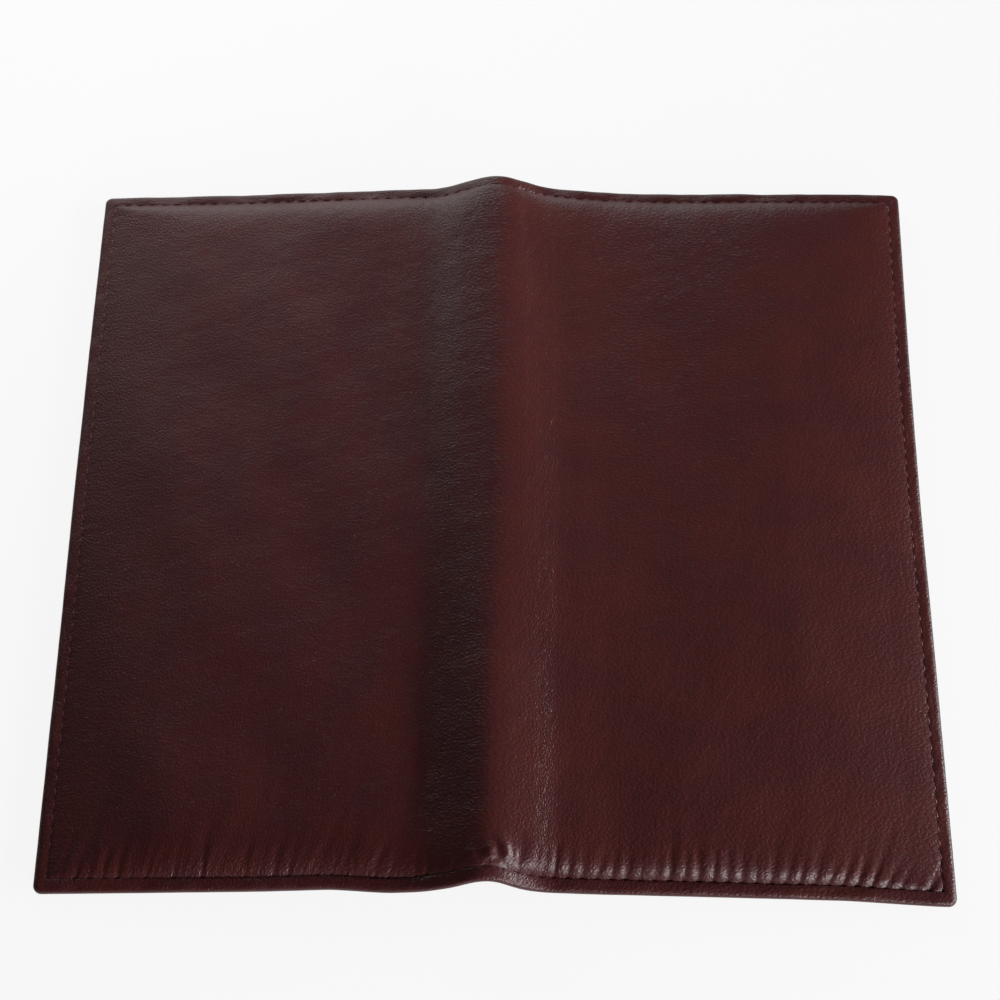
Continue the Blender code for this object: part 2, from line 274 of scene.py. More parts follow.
# how far the leather stands above the rim, over the padding and the hollow ridge, in mm, at three places
crown_stations = np.array([-123, -95, -40, -34, -28, -24, -20, -16, -12, -8, -4, -1, 2, 6, 10, 14, 18, 24,
                           34, 50, 90, 119]) * mm
crown_at_tail = np.array([2.4, 3.7, 4.07, 3.98, 3.73, 3.45, 3.00, 2.05, 1.36, 1.31, 1.40, 1.58, 1.92, 3.25,
                          4.42, 4.99, 5.04, 4.65, 4.27, 4.20, 4.1, 2.4]) * mm
crown_at_middle = np.array([2.4, 3.7, 4.09, 4.07, 4.04, 4.03, 3.99, 3.79, 3.28, 2.75, 1.57, 0.96, 1.81,
                            3.53, 4.72, 5.29, 5.31, 4.52, 3.80, 3.80, 4.0, 2.4]) * mm
crown_at_head = np.array([2.4, 3.7, 4.10, 4.07, 4.04, 4.03, 3.99, 3.79, 3.28, 2.75, 1.57, 0.93, 1.45, 2.43,
                          3.22, 3.98, 4.23, 3.82, 3.40, 3.5, 3.8, 2.4]) * mm
crown_ease = 2.0 * mm
# over what lengths the padding lifts the leather from the seam
head_shoulder = 4.0 * mm
fore_shoulder = 2.4 * mm
fore_rise = 12.0 * mm

# the edge in section, from the end of the turned flap round the rim to the seam: inset and level, and the
# same for the leather's inner face
edge_section = np.array([
    (7.5, 0.0), (6.3, 0.0), (5.0, 0.0), (3.8, 0.0), (2.7, 0.0), (1.8, 0.02), (1.2, 0.08), (0.75, 0.22),
    (0.40, 0.48), (0.16, 0.85), (0.03, 1.3), (0.0, 1.75), (0.05, 2.2), (0.19, 2.62), (0.42, 2.84),
    (0.75, 3.05), (1.15, 3.19), (1.6, 3.27), (2.1, 3.32), (2.6, 3.36), (3.0, 3.38), (3.35, 3.40),
    (3.6, 3.40), (3.8, 3.40)]) * mm
inner_section = np.array([(7.5, 0.5), (4.0, 0.5), (1.7, 0.5), (1.1, 0.62), (0.85, 1.1), (0.75, 1.75),
                          (0.85, 2.4), (1.2, 2.8), (2.4, 2.9), (3.8, 2.75)]) * mm
# lines of points inside the seam, on the outer face and on the inner one
shoulder_insets = np.array([4.0, 4.25, 4.55, 4.9, 5.3, 5.75, 6.2, 6.7, 7.2, 7.7, 8.2, 8.7, 9.2, 9.7, 10.3,
                            11.0]) * mm
inner_shoulder = np.array([5.3, 7.2, 9.2, 11.0]) * mm
grid_step = 1.0 * mm
leather_thickness = 1.1 * mm
pared_thickness = 0.55 * mm


def waves(u, y, length, seed, count=7):
    """A smooth uneven surface of unit size: plane waves of about one length in many directions."""
    random = np.random.default_rng(seed)
    total = np.zeros(np.broadcast(u, y).shape)
    for _ in range(count):
        angle = random.uniform(0, math.tau)
        size = length * random.uniform(0.7, 1.5)
        phase = random.uniform(0, math.tau)
        total += np.sin(math.tau * (u * math.cos(angle) + y * math.sin(angle)) / size + phase)
    return total / math.sqrt(count / 2)


def puckers(along, inset, holes, seed, depth, reach, lean):
    """Valleys that run inwards from a row of needle holes. Each has its own depth, length and lean."""
    random = np.random.default_rng(seed)
    total = np.zeros(np.broadcast(along, inset).shape)
    into = np.maximum(inset - seam_inset, 0.0)
    for hole in holes:
        own_depth = depth(hole) * random.uniform(0.35, 1.25)
        own_reach = reach(hole) * random.uniform(0.5, 1.6)
        own_lean = lean(hole) + random.normal(0, 0.10)
        width = random.uniform(0.55, 0.95) * mm
        offset = along - hole - own_lean * into
        near = np.abs(offset) < 4 * mm
        spread = width * (1 + into[near] / (9 * mm))
        total[near] -= own_depth * np.exp(-(offset[near] / spread) ** 2) * np.exp(-into[near] / own_reach)
    return total


def pleat(u, y, start, end, width, height):
    """A rounded fold of leather along a straight line."""
    (u0, y0), (u1, y1) = start, end
    length = math.hypot(u1 - u0, y1 - y0)
    along = ((u - u0) * (u1 - u0) + (y - y0) * (y1 - y0)) / length
    aside = ((u - u0) * (y1 - y0) - (y - y0) * (u1 - u0)) / length
    body = smooth(0, 0.25 * length, along) * (1 - smooth(0.45 * length, length, along))
    return height * body * np.exp(-(aside / width) ** 2)


across_holes = seam_left + pitch_across * np.arange(stitches_across + 1)
along_holes = -seam_end + pitch_along * np.arange(stitches_along + 1)


def seam_relief(u, y, tail_inset, head_inset, fore_inset, side):
    """All the puckers along the seam, which are deepest at the tail."""
    relief = puckers(u, tail_inset, across_holes, 11,
                     lambda hole: (0.34 + 0.36 * (hole > front_fold_u)) * mm,
                     lambda hole: (4.6 if hole > 0 else 9.0) * mm,
                     lambda hole: 0.33 - 0.15 * smooth(-60 * mm, -120 * mm, hole) if hole < 0
                     else 0.12 + 0.5 * smooth(70 * mm, 125 * mm, hole))
    between = across_holes[:-1] + 0.5 * pitch_across
    relief = relief + puckers(u, tail_inset, between, 19, lambda hole: 0.20 * mm * (hole < back_fold_u),
                              lambda hole: 11.0 * mm, lambda hole: 0.36)
    relief = relief + puckers(u, head_inset, across_holes, 12, lambda hole: 0.16 * mm, lambda hole: 2.6 * mm,
                              lambda hole: 0.05)
    if side:
        relief = relief + puckers(y, fore_inset, along_holes, 13 + side, lambda hole: 0.08 * mm,
                                  lambda hole: 2.4 * mm, lambda hole: 0.0)
    return relief


def seam_groove(inset, y):
    """The groove that the seam pulls into the leather, deepest at the tail."""
    depth = (0.03 + 0.07 * smooth(-95 * mm, -seam_end, y)) * mm
    return depth * np.exp(-((inset - seam_inset) / groove_width) ** 2)


# pleats where the spine's fullness is gathered into the seam at the tail: start, end, width and height,
# in mm
pleats = (((4.2, -0.6), (1.9, 8.5), 0.95, 1.0), ((0.9, -0.3), (0.4, 6.0), 0.9, 0.9),
          ((6.0, 0.0), (5.3, 4.0), 0.6, 0.15), ((-2.6, 0.3), (-3.4, 5.0), 0.9, 0.35))
pleats_foot = -half_height + 5.2 * mm
# the crease where the spine meets the front panel: deep at the tail, shallow at the head, faint between
crease_u = 6.9 * mm


def leather_top(u, y, side):
    """Level of the leather's outer face inside the seam."""
    insets = (half_height + y, half_height - y,
              {-1: u - back_edge_u, 0: np.full(np.shape(u), 1.0), 1: front_edge_u - u}[side])
    tail_in, head_in, fore_in = (np.maximum(own - seam_inset, 1e-6) for own in insets)
    tail_shoulder = (4.8 - 2.2 * smooth(-40 * mm, 12 * mm, u)) * mm
    lifts = (1 - np.exp(-tail_in / tail_shoulder), 1 - np.exp(-head_in / head_shoulder),
             1 - 0.97 * np.exp(-fore_in / fore_rise) - 0.03 * np.exp(-fore_in / fore_shoulder))
    lift = (sum(own ** -4.0 for own in lifts) - 2) ** -0.25
    at_tail, at_middle, at_head = (eased(u, crown_stations, levels, crown_ease)
                                   for levels in (crown_at_tail, crown_at_middle, crown_at_head))
    fullness = at_middle + (at_tail - at_middle) * smooth(20 * mm, -70 * mm, y)
    fullness = fullness + (at_head - at_middle) * smooth(20 * mm, 90 * mm, y)
    if side:
        centre, half = ((front_edge_u - front_width / 2, front_width / 2) if side > 0
                        else (back_edge_u + back_width / 2, back_width / 2))
        swell = np.maximum(1 - ((u - centre) / half) ** 2, 0) * (1 - (y / half_height) ** 2)
        fullness = fullness + panel_dome * swell
    fullness = fullness + 0.14 * mm * waves(u, y, 55 * mm, 3) + 0.05 * mm * waves(u, y, 17 * mm, 4)
    level = flange_level + lift * fullness
    level = level + 0.022 * mm * lift * waves(u, y, 4.5 * mm, 5, 12)
    level = level - seam_groove(sum(own ** -8.0 for own in insets) ** -0.125, y)
    level = level + seam_relief(u, y, *insets, side)
    near_tail, near_head = smooth(-99 * mm, -111 * mm, y), smooth(72 * mm, 112 * mm, y)
    crease = (0.60 * near_tail + 0.22 * near_head) * mm
    spread = (1.6 - 0.7 * near_tail) * mm
    level = level - crease * np.exp(-((u - crease_u) / spread) ** 2) * np.maximum(lift, 0.35)
    for start, end, width, height in pleats:
        level = level + pleat(u, y, (start[0] * mm, pleats_foot + start[1] * mm),
                              (end[0] * mm, pleats_foot + end[1] * mm), width * mm, height * mm)
    return level


def border_path(inset, across, along, edge_u, side, radius=None):
    """Places round a panel at one inset: along its tail, up its fore-edge and back along its head."""
    cut_u = across[0]
    reach = abs(edge_u - cut_u) - inset
    high = half_height - inset
    share = np.abs(across - cut_u) / abs(across[-1] - cut_u)
    tail = np.stack([share * reach, np.full(len(share), -high)], axis=-1)
    fore = np.stack([np.full(len(along) - 2, reach), along[1:-1] * high / along[-1]], axis=-1)
    head = tail[::-1] * [1, -1]
    path = np.concatenate([tail, fore, head])
    radius = max(corner_radius - inset, 0.0) if radius is None else radius
    if radius > 0:
        for end in (-1, 1):
            corner = np.array([reach, end * high])
            centre = corner - radius * np.array([1, end])
            away = np.abs(path - corner)
            on_arc = (away.max(axis=1) < radius) & (away.min(axis=1) < 1e-9)
            on_side = away[:, 0] < 1e-9
            distance = away.max(axis=1)
            angle = math.pi / 4 * (1 + np.where(on_side, 1, -1) * distance / radius)
            arc = centre + radius * np.stack([np.sin(angle), end * np.cos(angle)], axis=-1)
            path = np.where(on_arc[:, None], arc, path)
    return np.stack([cut_u + side * path[:, 0], path[:, 1]], axis=-1)


def quads(rows):
    """Faces between neighbouring rows of point numbers."""
    rows = np.asarray(rows)
    low, high = rows[:-1], rows[1:]
    corners = np.stack([low[:, :-1], low[:, 1:], high[:, 1:], high[:, :-1]], axis=-1)
    return corners.reshape(-1, 4).tolist()


def fan(fine, coarse):
    """Triangles between a fine row of point numbers and a coarse one over the same line."""
    ratio = (len(fine) - 1) // (len(coarse) - 1)
    faces = []
    for j in range(len(coarse) - 1):
        for i in range(ratio):
            apex = coarse[j] if i < ratio // 2 else coarse[j + 1]
            faces.append([fine[ratio * j + i], fine[ratio * j + i + 1], apex])
        faces.append([fine[ratio * j + ratio // 2], coarse[j + 1], coarse[j]])
    return faces


def grain_place(flat):
    """Where the grain lies on the hide: drawn out over the front panel, leaning at the back panel's tail."""
    u, y = flat[:, 0], flat[:, 1]
    stretched = 1.15 * u - 0.42 * 12 * mm * np.logaddexp(0.0, (u - 20 * mm) / (12 * mm))
    back = smooth(0.0, -45 * mm, u)
    lean = 0.42 * 18 * mm * np.logaddexp(0.0, (-60 * mm - y) / (18 * mm))
    return np.stack([stretched + (lean + 0.15 * u) * back, y * 1.05], axis=-1)


def make_piece(name, points, faces, flat, holes=None):
    """A closed mesh, faces outwards, with its flat pattern as UV map and painted shade as an attribute."""
    mesh = bpy.data.meshes.new(name)
    mesh.from_pydata(points.tolist(), [], [list(map(int, face)) for face in faces])
    corners = np.zeros(len(mesh.loops), dtype=np.int32)
    mesh.loops.foreach_get("vertex_index", corners)
    layer = mesh.uv_layers.new(name="flat_pattern")
    layer.data.foreach_set("uv", grain_place(flat)[corners].astype(np.float32).ravel())
    if holes is not None:
        layer = mesh.attributes.new("seam_and_edge_painted_shade", "FLOAT", "POINT")
        layer.data.foreach_set("value", holes.astype(np.float32))
    shape = bmesh.new()
    shape.from_mesh(mesh)
    bmesh.ops.triangulate(shape, faces=[face for face in shape.faces if len(face.verts) > 4])
    bmesh.ops.recalc_face_normals(shape, faces=shape.faces[:])
    shape.to_mesh(mesh)
    shape.free()
    mesh.shade_smooth()
    mesh.set_sharp_from_angle(angle=sharp_angle)
    return placed(name, mesh)


def painted_hole_and_edge_shade(u, y):
    """Painted shade round the needle holes, in the tail's seam groove and along the head and front edges."""
    across = np.abs((u - seam_left) / pitch_across - np.round((u - seam_left) / pitch_across)) * pitch_across
    along = np.abs((y + seam_end) / pitch_along - np.round((y + seam_end) / pitch_along)) * pitch_along
    end_inset = half_height - np.abs(y)
    side_inset = np.minimum(u - back_edge_u, front_edge_u - u)
    # painted shade round each needle hole
    end_row = np.exp(-((end_inset - seam_inset) ** 2 + across ** 2) / hole_radius ** 2)
    side_row = np.exp(-((side_inset - seam_inset) ** 2 + along ** 2) / hole_radius ** 2)
    # painted shade in the seam's groove at the tail
    groove = np.exp(-((half_height + y - seam_inset) / (0.5 * mm)) ** 2) * smooth(10 * mm, 40 * mm, u)
    # painted shade along the outer edge at the head and at the front edge
    edge_shade = 1 - smooth(0.4 * mm, 1.3 * mm, np.minimum(front_edge_u - u, half_height - y))
    return np.maximum.reduce([end_row, side_row, 0.25 * groove, 0.8 * edge_shade])


def rim_level(level, u, y, inset):
    """Level of the folded edge, which is a little uneven and drawn in by the seam."""
    share = np.clip(level / flange_level, 0, 1)
    uneven = 0.10 * mm * waves(u, y, 24 * mm, 21) + 0.05 * mm * waves(u, y, 7 * mm, 22)
    fade = 1 - smooth(1.8 * mm, seam_inset, inset)
    return level + share * (uneven * fade - seam_groove(inset, y))


def outer_level(inset, level, u, y, side):
    """Level of the outer face on a line of the edge's section, or inside it, where no level is given."""
    if level is None or (inset >= seam_inset and level > mm):
        return leather_top(u, y, side)
    return rim_level(level, u, y, inset)


def inner_level(inset, level, u, y, side):
    """Level of the leather's inner face. Over the padding it is pared thin towards the seam."""
    if level is not None:
        return level
    inset = half_height - np.abs(y)
    if side:
        inset = np.minimum(inset, u - back_edge_u if side < 0 else front_edge_u - u)
    thickness = pared_thickness + (leather_thickness - pared_thickness) * smooth(6.5 * mm, 13 * mm, inset)
    return leather_top(u, y, side) - thickness


def flat_inset(section):
    """Inset on the flat hide for each point of the edge's section, counted back from the seam."""
    lengths = np.hypot(*np.diff(section, axis=0).T)
    return seam_inset - np.concatenate([np.cumsum(lengths[::-1])[::-1], [0.0]])


# the lines of points that run along the edge: inset, level, and inset on the flat hide
outer_lines = [(*place, flat) for place, flat in zip(edge_section, flat_inset(edge_section))]
outer_lines += [(inset, None, inset) for inset in shoulder_insets]
inner_lines = [(inset, level, inset) for inset, level in inner_section]
inner_lines += [(inset, None, inset) for inset in inner_shoulder]
straight_half = half_height - shoulder_insets[-1]
along_lines = np.linspace(-1, 1, 2 * round(straight_half / grid_step / 2) * 4 + 1) * straight_half


def add_points(points, places, level, flat=None):
    """Add points to a piece's places, levels and places on the flat hide, and return their numbers."""
    first, count = sum(map(len, points[0])), len(places)
    flat = places if flat is None else flat
    for values, added in zip(points, (places, np.broadcast_to(level, count), flat)):
        values.append(added)
    return np.arange(first, first + count)


def leather_piece(name, points, faces):
    """A piece of the outer leather from its points and faces."""
    places, levels, flats = map(np.concatenate, points)
    u, y = places.T
    return make_piece(name, place_points(u, y, levels), faces, flats, painted_hole_and_edge_shade(u, y))


def split_grid(net, border):
    """Faces of a grid whose outer points lie on a border with twice as many points."""
    rows, columns = net.shape
    faces = quads(net[:-1, 1:-1])
    # the border's own point after each point that it shares with the grid
    after = {number: border[2 * i + 1] for i, number in enumerate(border[:-1:2])}
    for i in range(rows - 2):
        faces.append([net[i, 0], after[net[i, 0]], net[i + 1, 0], net[i + 1, 1], net[i, 1]])
        faces.append([net[i + 1, -1], after[net[i + 1, -1]], net[i, -1], net[i, -2], net[i + 1, -2]])
    for j in range(1, columns - 2):
        faces.append([net[-1, j], after[net[-1, j]], net[-1, j + 1], net[-2, j + 1], net[-2, j]])
    faces.append([net[-2, 0], after[net[-2, 0]], net[-1, 0], after[net[-1, 0]], net[-1, 1], net[-2, 1]])
    faces.append([net[-1, -2], after[net[-1, -2]], net[-1, -1], after[net[-1, -1]],
                  net[-2, -1], net[-2, -2]])
    return faces


def panel_leather(name, side, cut_u, edge_u):
    """The leather of one panel and of the spine as far as its cut."""
    reach = abs(edge_u - cut_u) - shoulder_insets[-1]
    all_across = cut_u + side * np.linspace(0, reach, round(reach / grid_step / 2) * 4 + 1)
    points = ([], [], [])

    def face_points(edge_lines, surface, step, net_step):
        """Rings of points round the edge, and the net of points inside the last ring."""
        across, along = all_across[::step], along_lines[::step]
        rings = []
        for inset, level, flat in edge_lines:
            path = border_path(inset, across, along, edge_u, side)
            flat_path = path if flat == inset else border_path(flat, across, along, edge_u, side, 0.0)
            rings.append(add_points(points, path, surface(inset, level, *path.T, side), flat_path))
        across, along, border = across[::net_step], along[::net_step], rings[-1][::net_step]
        u, y = np.meshgrid(across[:-1], along[1:-1], indexing="ij")
        places = np.stack([u.ravel(), y.ravel()], axis=-1)
        net = np.zeros((len(across), len(along)), dtype=int)
        net[:-1, 1:-1] = add_points(points, places, surface(0, None, *places.T, side)).reshape(u.shape)
        net[:, 0] = border[:len(across)]
        net[:, -1] = border[::-1][:len(across)]
        net[-1, :] = border[len(across) - 1:len(border) - len(across) + 1]
        return rings, net

    # the outer face's net has every second line, and the whole inner face every fourth
    outer_rings, outer_net = face_points(outer_lines, outer_level, 1, 2)
    inner_rings, inner_net = face_points(inner_lines, inner_level, 4, 1)
    faces = quads(outer_rings) + split_grid(outer_net, outer_rings[-1])
    faces += [face[::-1] for face in quads(inner_rings)] + quads(inner_net)
    faces += fan(outer_rings[0], inner_rings[0])
    # the wall at the cut
    chains = [[ring[0] for ring in rings] + list(net[0, 1:-1]) + [ring[-1] for ring in rings[::-1]]
              for rings, net in ((outer_rings, outer_net), (inner_rings, inner_net))]
    faces.append(chains[0] + chains[1][::-1])
    return leather_piece(name, points, faces)


def spine_leather_piece(name):
    """The leather over the crest, between the two cuts."""
    across = np.linspace(back_cut_u, front_cut_u, round((front_cut_u - back_cut_u) / (0.5 * mm)) + 1)
    points = ([], [], [])
    nets = []
    for edge_lines, surface, step in ((outer_lines, outer_level, 2), (inner_lines, inner_level, 4)):
        middle = [(half_height - y, None, half_height - y) for y in along_lines[::step][1:-1]]
        net = []
        for i, (inset, level, flat) in enumerate(edge_lines + middle + edge_lines[::-1]):
            end = -1 if i < len(edge_lines) else 1
            path, flat_path = (np.stack([across, np.full(len(across), end * (half_height - place))], axis=-1)
                               for place in (inset, flat))
            net.append(add_points(points, path, surface(inset, level, *path.T, 0), flat_path))
        nets.append(np.array(net))
    top, under = nets
    faces = quads(top) + [face[::-1] for face in quads(under)]
    faces += quads([under[0], top[0]]) + quads([top[-1], under[-1]])
    for column in (0, -1):
        faces.append(list(top[:, column]) + list(under[::-1, column]))
    return leather_piece(name, points, faces)


def node_group(name, kind, inputs, outputs):
    """A node group whose inputs are written as name, kind and value. Returns it and its two end nodes."""
    tree = bpy.data.node_groups.new(name, kind)
    for label, socket_kind, value in inputs:
        made = tree.interface.new_socket(label, in_out="INPUT", socket_type="NodeSocket" + socket_kind)
        if value is not None:
            made.default_value = value
    for label, socket_kind in outputs:
        tree.interface.new_socket(label, in_out="OUTPUT", socket_type="NodeSocket" + socket_kind)
    return tree, tree.nodes.new("NodeGroupInput"), tree.nodes.new("NodeGroupOutput")


def vectors(tree, operation, inputs):
    """The output of a Vector Math node."""
    return add_node(tree, "ShaderNodeVectorMath", inputs, operation=operation), "Vector"


def pebbled_grain():
    """Shader group: the domed pebbles of milled leather, as a height and as a mask of the creases."""
    tree, entry, result = node_group(
        "pebbled_grain", "ShaderNodeTree",
        (("Pattern", "Vector", None), ("Pebbles per Metre", "Float", 700.0)),
        (("Height", "Float"), ("Crease", "Float")))
    pattern = (entry, "Pattern")
    bend = add_node(tree, "ShaderNodeTexNoise", {"Vector": pattern, "Scale": 420.0, "Detail": 1.0},
                    noise_dimensions="2D")
    centred = vectors(tree, "SUBTRACT", {0: (bend, "Color"), 1: (0.5, 0.5, 0.5)})
    moved = vectors(tree, "ADD", {0: pattern, 1: vectors(tree, "SCALE", {0: centred, "Scale": 1.6 * mm})})
    gaps = add_node(tree, "ShaderNodeTexVoronoi", {"Vector": moved, "Scale": (entry, "Pebbles per Metre")},
                    voronoi_dimensions="2D", feature="DISTANCE_TO_EDGE")
    dome = add_node(tree, "ShaderNodeMapRange", {"Value": (gaps, "Distance"), "From Max": 0.44},
                    interpolation_type="SMOOTHSTEP")
    # this crease mask also darkens the leather's colour: painted shade in the creases
    crease = add_node(tree, "ShaderNodeMapRange",
                      {"Value": (gaps, "Distance"), "From Max": 0.26, "To Min": 1.0, "To Max": 0.0},
                      interpolation_type="SMOOTHSTEP")
    uneven = add_node(tree, "ShaderNodeTexNoise", {"Vector": pattern, "Scale": 1100.0, "Detail": 3.0},
                      noise_dimensions="2D")
    height = maths(tree, "ADD", (dome, "Result"), maths(tree, "MULTIPLY", (uneven, "Fac"), 1.5))
    feed(result, {"Height": height, "Crease": (crease, "Result")})
    return tree


# the colour sockets of a Mix node: its two inputs and its output
mix_a, mix_b, mixed = 6, 7, 2
# the colour that multiplies in the painted shade
painted_shade_colour = (0.18, 0.14, 0.14, 1.0)


def dye_and_painted_shade():
    """Shader group: the uneven dye of the hide in two close colours, with painted shade where the mask is.
    """
    tree, entry, result = node_group(
        "dye_and_painted_shade", "ShaderNodeTree",
        (("Pattern", "Vector", None), ("Colour", "Color", (0.05, 0.01, 0.01, 1.0)),
         ("Second Colour", "Color", (0.04, 0.01, 0.01, 1.0)), ("Painted Shade", "Float", 0.0)),
        (("Colour Out", "Color"),))
    cloud = add_node(tree, "ShaderNodeTexNoise",
                     {"Vector": (entry, "Pattern"), "Scale": 45.0, "Detail": 5.0, "Roughness": 0.6},
                     noise_dimensions="2D")
    contrast = add_node(tree, "ShaderNodeMapRange",
                        {"Value": (cloud, "Fac"), "From Min": 0.32, "From Max": 0.68},
                        interpolation_type="SMOOTHSTEP")
    tone = add_node(tree, "ShaderNodeMix", {0: (contrast, "Result"), mix_a: (entry, "Colour"),
                                            mix_b: (entry, "Second Colour")}, data_type="RGBA")
    # painted shade: the tone is darkened where the mask is
    shade = add_node(tree, "ShaderNodeMix", {0: (entry, "Painted Shade"), mix_a: (tone, mixed), mix_b: painted_shade_colour},
                     data_type="RGBA", blend_type="MULTIPLY")
    feed(result, {"Colour Out": (shade, mixed)})
    return tree


grain_group = pebbled_grain()
tone_group = dye_and_painted_shade()


def leather_material(name, colour, second_colour, pebbles, grain_depth, roughness, holes=False):
    """A dyed leather whose grain follows the piece's flat pattern."""
    material, tree, shader = finish(name, {"Specular IOR Level": 0.28})
    pattern = (add_node(tree, "ShaderNodeUVMap", uv_map="flat_pattern"), "UV")
    grain = add_node(tree, "ShaderNodeGroup", node_tree=grain_group)
    feed(grain, {"Pattern": pattern, "Pebbles per Metre": pebbles})
    # painted shade: the colour is darker in the grain's creases
    dark = maths(tree, "MULTIPLY", (grain, "Crease"), 0.34)
    # painted shade round the needle holes, in the seam's groove and along the head and front edges
    if holes:
        painted_shade_input = add_node(tree, "ShaderNodeAttribute", attribute_name="seam_and_edge_painted_shade")
        dark = maths(tree, "MAXIMUM", dark, maths(tree, "MULTIPLY", (painted_shade_input, "Fac"), 0.9))
    tone = add_node(tree, "ShaderNodeGroup", node_tree=tone_group)
    feed(tone, {"Pattern": pattern, "Colour": (*colour, 1.0), "Second Colour": (*second_colour, 1.0),
                "Painted Shade": dark})
    polish = maths(tree, "MULTIPLY_ADD", (grain, "Crease"), 0.08, roughness)
    bump = add_node(tree, "ShaderNodeBump", {"Height": (grain, "Height"), "Distance": grain_depth})
    feed(shader, {"Base Color": (tone, "Colour Out"), "Roughness": polish, "Normal": (bump, "Normal")})
    return material


def fit(piece, bodies, material, material_slot, *nodes):
    """Give a piece its material, fix it to a body or bake its place into its mesh, and hide its CAD nodes.
    """
    if material:
        piece.data.materials.append(material)
    if isinstance(bodies, str):
        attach(piece, bodies)
    else:
        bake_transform(piece)
    if nodes:
        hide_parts(*nodes)


outer_leather = leather_material("oxblood_milled_leather", (0.049, 0.0078, 0.0072), (0.042, 0.0068, 0.0078),
                                 800.0, 0.056 * mm, 0.38, holes=True)
# each part turns over one fold: from the panel's rigid part to the middle of the spine's side
back_bend = ("back_panel", "spine_back", -26.5 * mm, -12.0 * mm)
crest_bend = ("spine_back", "spine_front", -8.0 * mm, 3.2 * mm)
front_bend = ("spine_front", "front_panel", 6.2 * mm, 19.0 * mm)
back_leather = panel_leather("back_leather", -1, back_cut_u, back_edge_u)
fit(back_leather, back_bend, outer_leather, "outer_leather", "back_cover")
spine_leather = spine_leather_piece("spine_leather")
fit(spine_leather, crest_bend, outer_leather, "outer_leather", "spine_cover_back", "spine_cover_front")
front_leather = panel_leather("front_leather", 1, front_cut_u, front_edge_u)
fit(front_leather, front_bend, outer_leather, "outer_leather", "front_cover")

# Padding
# A soft pad of wadding lies between the leather and the board of each panel, and gives the panel its crown.
# It is trimmed thin short of the seam, and isn't sewn in.
pad_low = 3.3 * mm
pad_clearance = 0.15 * mm
pad_least = 0.1 * mm


def round_profile(x, side):
    """Distance round the profile of a place on a panel's straight part."""
    fold_u, fold_name = (back_fold_u, "back_fold") if side < 0 else (front_fold_u, "front_fold")
    return fold_u + (x - fold[fold_name][0]) / math.cos(tent_angle)


def stations(start, end, step, rounding=(0.0, 0.07, 0.22)):
    """Lines between two edges, with close ones at each edge for its rounding."""
    border = np.array(rounding) * mm
    inner_line = np.linspace(start + border[-1], end - border[-1], max(2, round((end - start) / step)) + 1)
    return np.concatenate([start + border[:-1], inner_line, (end - border[:-1])[::-1]])


def slab(name, across, along, low, high, rounding=0.22 * mm):
    """A closed layer between two levels, which may change over it, with rounded edges."""
    u, y = np.meshgrid(across, along)
    edge = np.minimum(np.minimum(u - across[0], across[-1] - u), np.minimum(y - along[0], along[-1] - y))
    pinch = rounding * (1 - np.sqrt(1 - (1 - np.minimum(edge / rounding, 1)) ** 2))
    under = np.arange(u.size).reshape(u.shape)
    over = under + u.size
    levels = [level(u, y) if callable(level) else level for level in (low, high)]
    points = [place_points(u, y, levels[0] + pinch), place_points(u, y, levels[1] - pinch)]
    rim = [np.concatenate([net[0], net[1:, -1], net[-1, -2::-1], net[-2:0:-1, 0], net[:1, 0]])
           for net in (under, over)]
    faces = quads(over) + [face[::-1] for face in quads(under)] + quads(rim)
    flat = np.stack([u.ravel(), y.ravel()], axis=-1)
    return make_piece(name, np.concatenate(points).reshape(-1, 3), faces, np.concatenate([flat, flat]))


def node_stations(node, side, step):
    """Lines across and along a CAD node's place."""
    low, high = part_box(node)
    across = stations(round_profile(low.x, side), round_profile(high.x, side), step)
    return across, stations(low.y, high.y, step)


def fibre_material(name, colour, dark, scale, roughness, relief, stretch=(1.0, 1.0, 1.0)):
    """A matt stuff of tangled fibres, in a colour and its darker tone."""
    material, tree, shader = finish(name, {"Roughness": roughness, "Specular IOR Level": 0.2})
    place = add_node(tree, "ShaderNodeTexCoord")
    drawn = add_node(tree, "ShaderNodeMapping", {"Vector": (place, "Object"), "Scale": stretch})
    fibres = add_node(tree, "ShaderNodeTexNoise",
                      {"Vector": (drawn, "Vector"), "Scale": scale, "Detail": 6.0, "Distortion": 1.2})
    tone = add_node(tree, "ShaderNodeValToRGB", {"Fac": (fibres, "Fac")})
    for element, position, shade in zip(tone.color_ramp.elements, (0.35, 0.62), (dark, colour)):
        element.position = position
        element.color = (*shade, 1.0)
    bump = add_node(tree, "ShaderNodeBump", {"Height": (fibres, "Fac"), "Distance": relief})
    feed(shader, {"Base Color": (tone, "Color"), "Normal": (bump, "Normal")})
    return material


wadding = fibre_material("soft_wadding", (0.62, 0.60, 0.55), (0.48, 0.46, 0.42), 900.0, 0.95, 0.2 * mm)
for name, node, side, bodies in (("back_pad", "back_padding", -1, back_bend),
                                 ("front_pad", "front_padding", 1, front_bend)):
    across, along = node_stations(node, side, 3 * mm)

    def pad_top(u, y):
        """Level of the pad's upper face, close under the leather."""
        return inner_level(0, None, u, y, side) - pad_clearance

    pad = slab(name, across, along, lambda u, y: np.minimum(pad_top(u, y) - pad_least, pad_low), pad_top,
               0.05 * mm)
    fit(pad, bodies, wadding, "padding", node)

